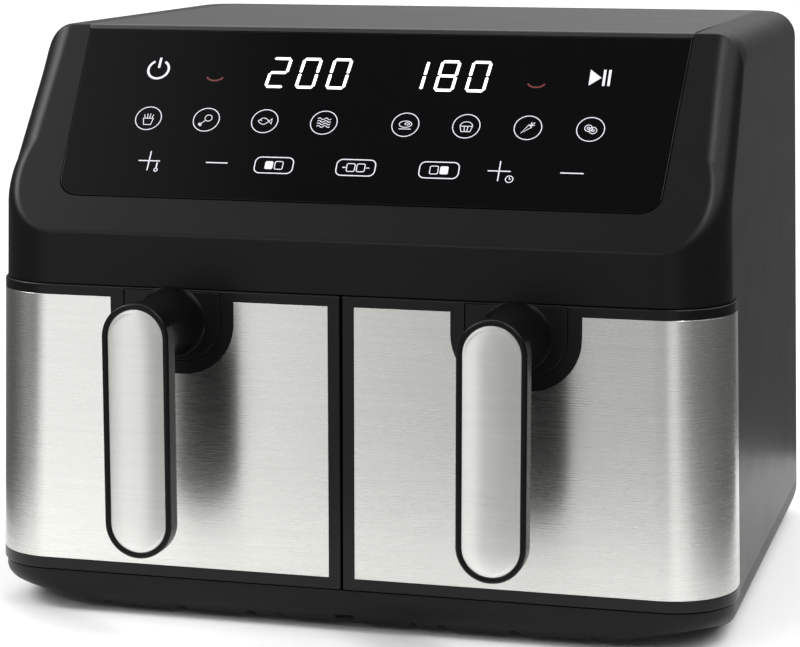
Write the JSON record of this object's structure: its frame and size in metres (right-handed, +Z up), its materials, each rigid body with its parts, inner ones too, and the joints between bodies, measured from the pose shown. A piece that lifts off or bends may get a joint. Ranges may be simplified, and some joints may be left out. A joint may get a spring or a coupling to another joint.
{
  "type": "twin drawer hot air fryer",
  "caption": "Countertop hot air fryer with side-by-side pull-out drawers, upright pill-shaped handles, a sloping glass touch panel and lift-out crisper plates.",
  "frame": {"origin": "on the ground, at the middle of the overall width and depth", "axes": "+X across the front towards the viewer's right, drawers open towards -Y, +Z up"},
  "size_m": [0.3904, 0.386, 0.3],
  "materials": {
    "housing_abs": "satin moulded, very fine texture",
    "cover_abs": "fine matt texture",
    "back_abs": "fine matt texture",
    "base_pp": "matt",
    "foot_rubber": "matt",
    "screw_steel": "zinc plated",
    "panel_glass": "polished, printed black on the back",
    "carrier_plastic": "natural moulded",
    "display": "smooth, white lit numerals",
    "circuit_board": "solder mask",
    "galvanised_sheet": "zinc coated sheet",
    "heater_tube": "oxidised nickel alloy",
    "chromed_wire": "bright",
    "motor_steel": "laminated steel, lacquered",
    "fan_aluminium": "stamped",
    "fan_plastic": "moulded",
    "plunger_plastic": "moulded",
    "nonstick_coating": "non-stick coat, fine speckle",
    "drawer_abs": "satin gloss",
    "handle_abs": "satin gloss",
    "brushed_skin": "brushed across the front",
    "silicone": "matt"
  },
  "bodies": {
    "body": {"housing": "housing_abs", "top_cover": "cover_abs", "rear_cover": "back_abs", "base": "base_pp", "rubber_feet": "foot_rubber", "cover_screws": "screw_steel", "control_glass": "panel_glass", "display_carrier": "carrier_plastic", "displays": "display", "control_board": "circuit_board", "power_board": "circuit_board", "heat_shield": "galvanised_sheet", "centre_divider": "galvanised_sheet", "cord_gland": "foot_rubber", "left_oven": "galvanised_sheet", "left_heater": "heater_tube", "left_heater_guard": "chromed_wire", "left_motor": "motor_steel", "left_motor_bracket": "galvanised_sheet", "left_sensor": "chromed_wire", "left_switch": "fan_plastic", "left_exhaust_duct": "galvanised_sheet", "left_runners": "carrier_plastic", "right_oven": "galvanised_sheet", "right_heater": "heater_tube", "right_heater_guard": "chromed_wire", "right_motor": "motor_steel", "right_motor_bracket": "galvanised_sheet", "right_sensor": "chromed_wire", "right_switch": "fan_plastic", "right_exhaust_duct": "galvanised_sheet", "right_runners": "carrier_plastic"},
    "left_drawer": {"left_tub": "nonstick_coating", "left_drawer_shell": "drawer_abs", "left_inner_panel": "drawer_abs", "left_steel_skin": "brushed_skin", "left_handle_plate": "drawer_abs", "left_handle": "handle_abs", "left_handle_inlay": "brushed_skin", "left_drawer_screws": "screw_steel"},
    "left_crisper": {"left_crisper_plate": "nonstick_coating", "left_bumpers": "silicone"},
    "left_fan": {"left_hot_air_fan": "fan_aluminium", "left_cooling_fan": "fan_plastic"},
    "left_plunger_rod": {"left_plunger": "plunger_plastic"},
    "right_drawer": {"right_tub": "nonstick_coating", "right_drawer_shell": "drawer_abs", "right_inner_panel": "drawer_abs", "right_steel_skin": "brushed_skin", "right_handle_plate": "drawer_abs", "right_handle": "handle_abs", "right_handle_inlay": "brushed_skin", "right_drawer_screws": "screw_steel"},
    "right_crisper": {"right_crisper_plate": "nonstick_coating", "right_bumpers": "silicone"},
    "right_fan": {"right_hot_air_fan": "fan_aluminium", "right_cooling_fan": "fan_plastic"},
    "right_plunger_rod": {"right_plunger": "plunger_plastic"}
  },
  "joints": [
    {"name": "left_drawer_slide", "type": "slide", "parent": "body", "child": "left_drawer", "axis": [0, -1, 0], "range_m": [0, 0.235]},
    {"name": "left_crisper_lift", "type": "slide", "parent": "left_drawer", "child": "left_crisper", "axis": [0, 0, 1], "range_m": [0, 0.1]},
    {"name": "left_fan_spin", "type": "hinge", "parent": "body", "child": "left_fan", "pos_m": [-0.09427, 0.0334, 0.1856], "axis": [0, 0, 1], "continuous": true},
    {"name": "left_plunger_slide", "type": "slide", "parent": "body", "child": "left_plunger_rod", "axis": [0, -1, 0], "range_m": [0, 0.003]},
    {"name": "right_drawer_slide", "type": "slide", "parent": "body", "child": "right_drawer", "axis": [0, -1, 0], "range_m": [0, 0.235]},
    {"name": "right_crisper_lift", "type": "slide", "parent": "right_drawer", "child": "right_crisper", "axis": [0, 0, 1], "range_m": [0, 0.1]},
    {"name": "right_fan_spin", "type": "hinge", "parent": "body", "child": "right_fan", "pos_m": [0.09427, 0.0334, 0.1856], "axis": [0, 0, 1], "continuous": true},
    {"name": "right_plunger_slide", "type": "slide", "parent": "body", "child": "right_plunger_rod", "axis": [0, -1, 0], "range_m": [0, 0.003]}
  ],
  "couplings": [
    {"joint": "left_plunger_slide", "follows": "left_drawer_slide", "ratio": 0.01276},
    {"joint": "right_plunger_slide", "follows": "right_drawer_slide", "ratio": 0.01276}
  ]
}
